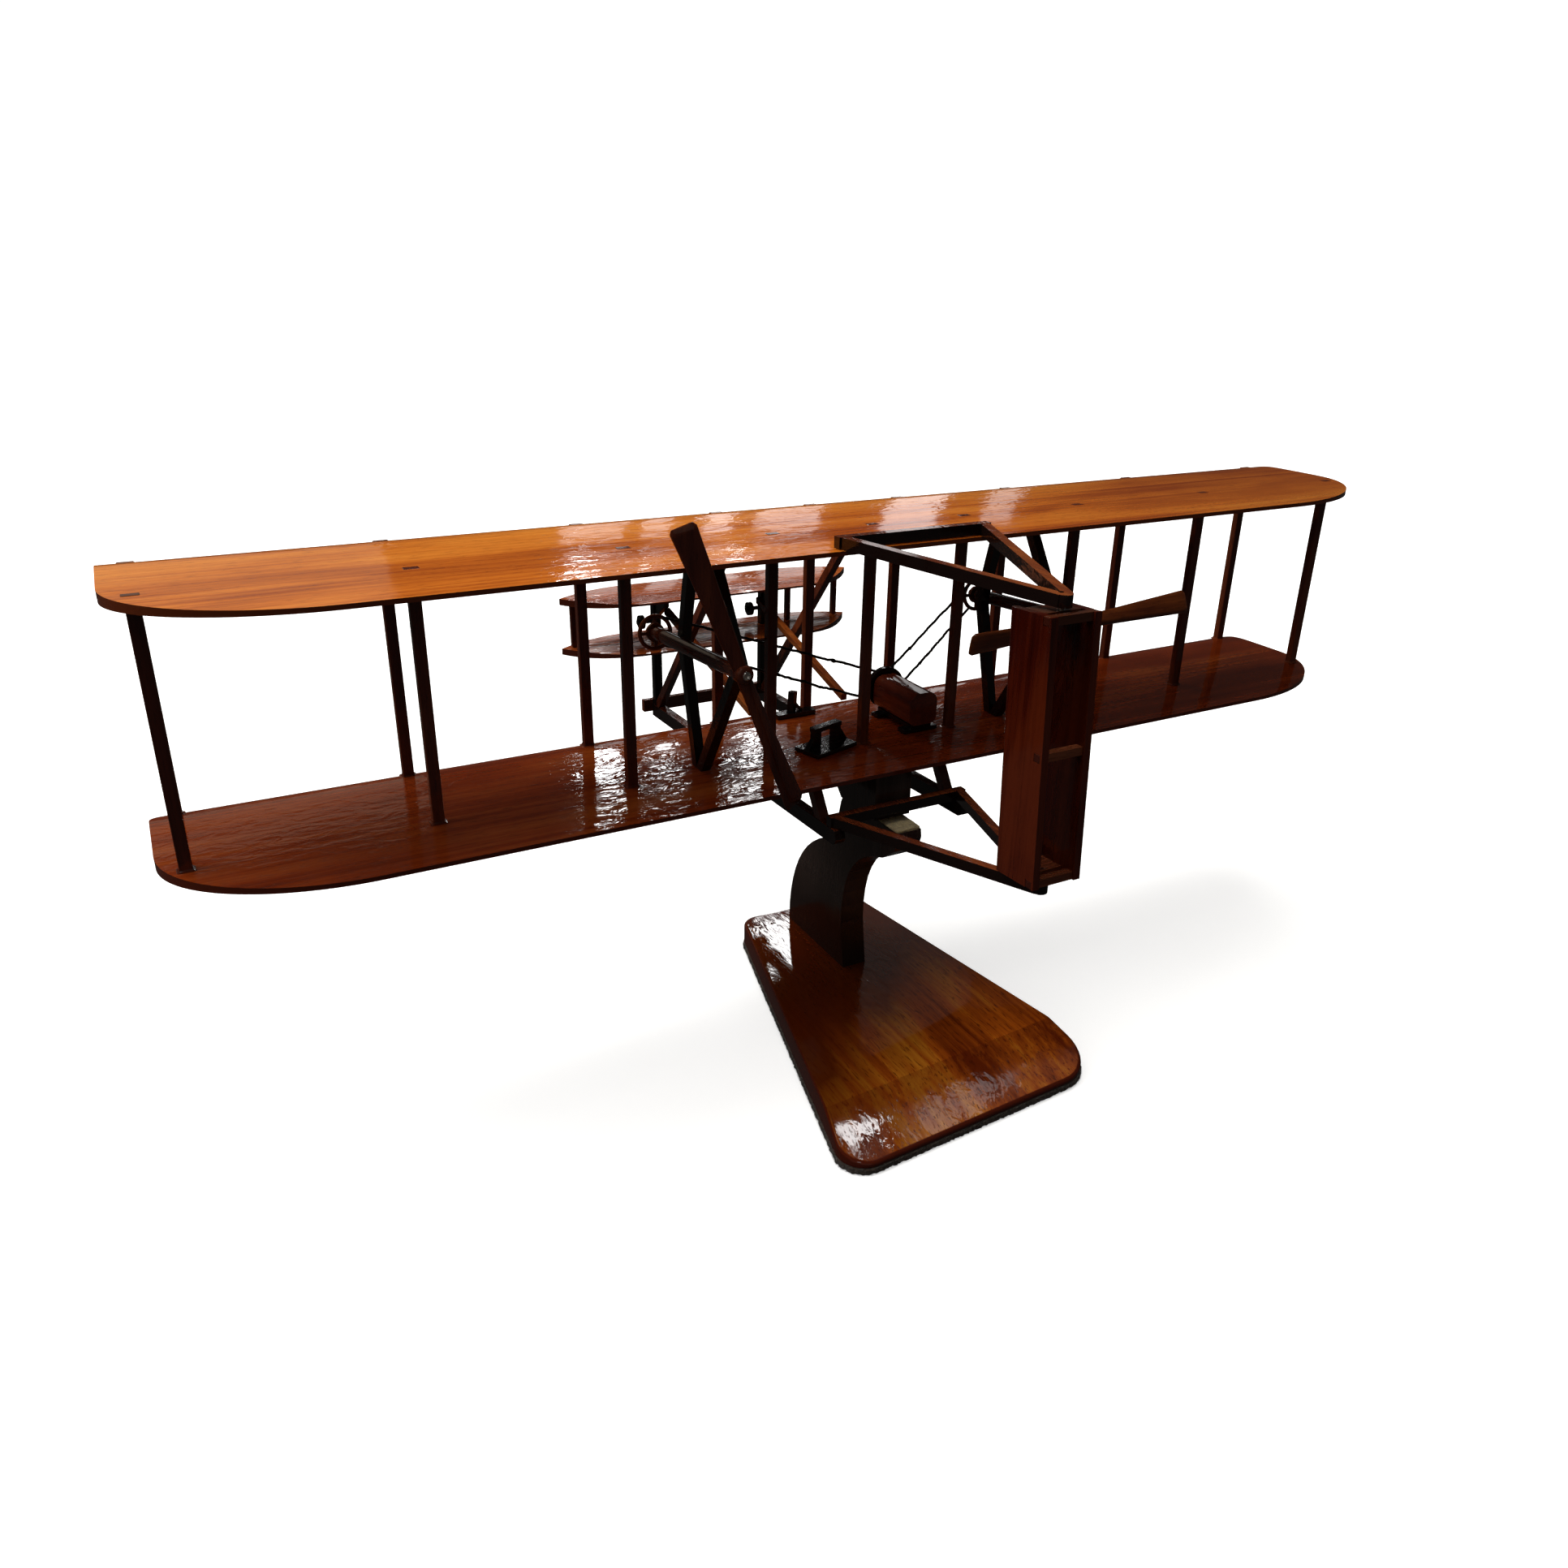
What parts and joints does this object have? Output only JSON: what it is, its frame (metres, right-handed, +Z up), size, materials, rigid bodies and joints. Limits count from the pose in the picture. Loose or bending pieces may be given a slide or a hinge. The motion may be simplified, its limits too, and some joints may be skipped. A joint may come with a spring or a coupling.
{
  "type": "desk model aircraft",
  "caption": "Varnished wooden desk model of an early pusher biplane with two rear propellers, a twin-surface nose elevator and a box rudder, resting on a curved arm on a flat base.",
  "frame": {"origin": "underside of the base, on the table, below the model's plane of symmetry", "axes": "+X to the model's starboard side along the span, +Y towards its nose, +Z up"},
  "size_m": [0.503, 0.2729, 0.2144],
  "materials": {
    "felt": "matt felt",
    "base_wood": "gloss varnish",
    "brass_screw": "satin",
    "arm_wood": "gloss varnish",
    "pad": "matt felt",
    "peg_wood": "bare",
    "lower_wing_wood": "gloss varnish",
    "upper_wing_wood": "gloss varnish",
    "dark_wood": "gloss varnish",
    "black_wood": "satin black stain",
    "nail_steel": "bright",
    "chain_wire": "satin black",
    "rudder_wood": "gloss varnish",
    "prop_wood": "gloss varnish"
  },
  "bodies": {
    "stand": {"base_felt": "felt", "stand_base": "base_wood", "base_screws": "brass_screw", "stand_arm": "arm_wood", "arm_pad": "pad", "stand_peg": "peg_wood"},
    "airframe": {"saddle_block": "arm_wood", "lower_wing": "lower_wing_wood", "upper_wing": "upper_wing_wood", "front_strut_1": "dark_wood", "front_strut_2": "dark_wood", "front_strut_3": "dark_wood", "front_strut_4": "dark_wood", "front_strut_5": "dark_wood", "front_strut_6": "dark_wood", "front_strut_7": "dark_wood", "front_strut_8": "dark_wood", "front_strut_9": "dark_wood", "rear_strut_1": "dark_wood", "rear_strut_2": "dark_wood", "rear_strut_3": "dark_wood", "rear_strut_4": "dark_wood", "rear_strut_5": "dark_wood", "rear_strut_6": "dark_wood", "rear_strut_7": "dark_wood", "rear_strut_8": "dark_wood", "rear_strut_9": "dark_wood", "port_skid": "dark_wood", "starboard_skid": "dark_wood", "skid_crossbar": "dark_wood", "skid_legs": "dark_wood", "nose_posts": "black_wood", "upper_braces": "dark_wood", "lower_braces": "upper_wing_wood", "upper_elevator": "upper_wing_wood", "lower_elevator": "lower_wing_wood", "elevator_struts": "dark_wood", "elevator_brackets": "black_wood", "elevator_pulleys": "black_wood", "port_shaft": "dark_wood", "starboard_shaft": "dark_wood", "port_shaft_braces": "black_wood", "starboard_shaft_braces": "black_wood", "sprockets": "dark_wood", "prop_nails": "nail_steel", "port_chain": "chain_wire", "starboard_chain": "chain_wire", "engine_block": "lower_wing_wood", "engine_mount": "black_wood", "flywheel": "black_wood", "hip_cradle": "black_wood", "control_board": "black_wood", "control_lever": "black_wood", "upper_outrigger": "dark_wood", "lower_outrigger": "dark_wood", "rudder_pins": "nail_steel"},
    "rudder": {"rudder_sides": "rudder_wood", "rudder_slats": "rudder_wood"},
    "port_prop": {"port_propeller": "prop_wood"},
    "starboard_prop": {"starboard_propeller": "prop_wood"}
  },
  "joints": [
    {"name": "airframe_lift", "type": "slide", "parent": "stand", "child": "airframe", "axis": [0, 0, 1], "range_m": [0, 0.04]},
    {"name": "port_prop_spin", "type": "hinge", "parent": "airframe", "child": "port_prop", "pos_m": [-0.0722, -0.0096, 0.1639], "axis": [0, 0.9971, -0.0767], "continuous": true},
    {"name": "starboard_prop_spin", "type": "hinge", "parent": "airframe", "child": "starboard_prop", "pos_m": [0.0722, -0.0096, 0.1639], "axis": [0, 0.9971, -0.0767], "continuous": true},
    {"name": "rudder_swing", "type": "hinge", "parent": "airframe", "child": "rudder", "pos_m": [0, -0.077, 0.1939], "axis": [0, 0.0541, 0.9985], "range_deg": [-15, 15]}
  ]
}
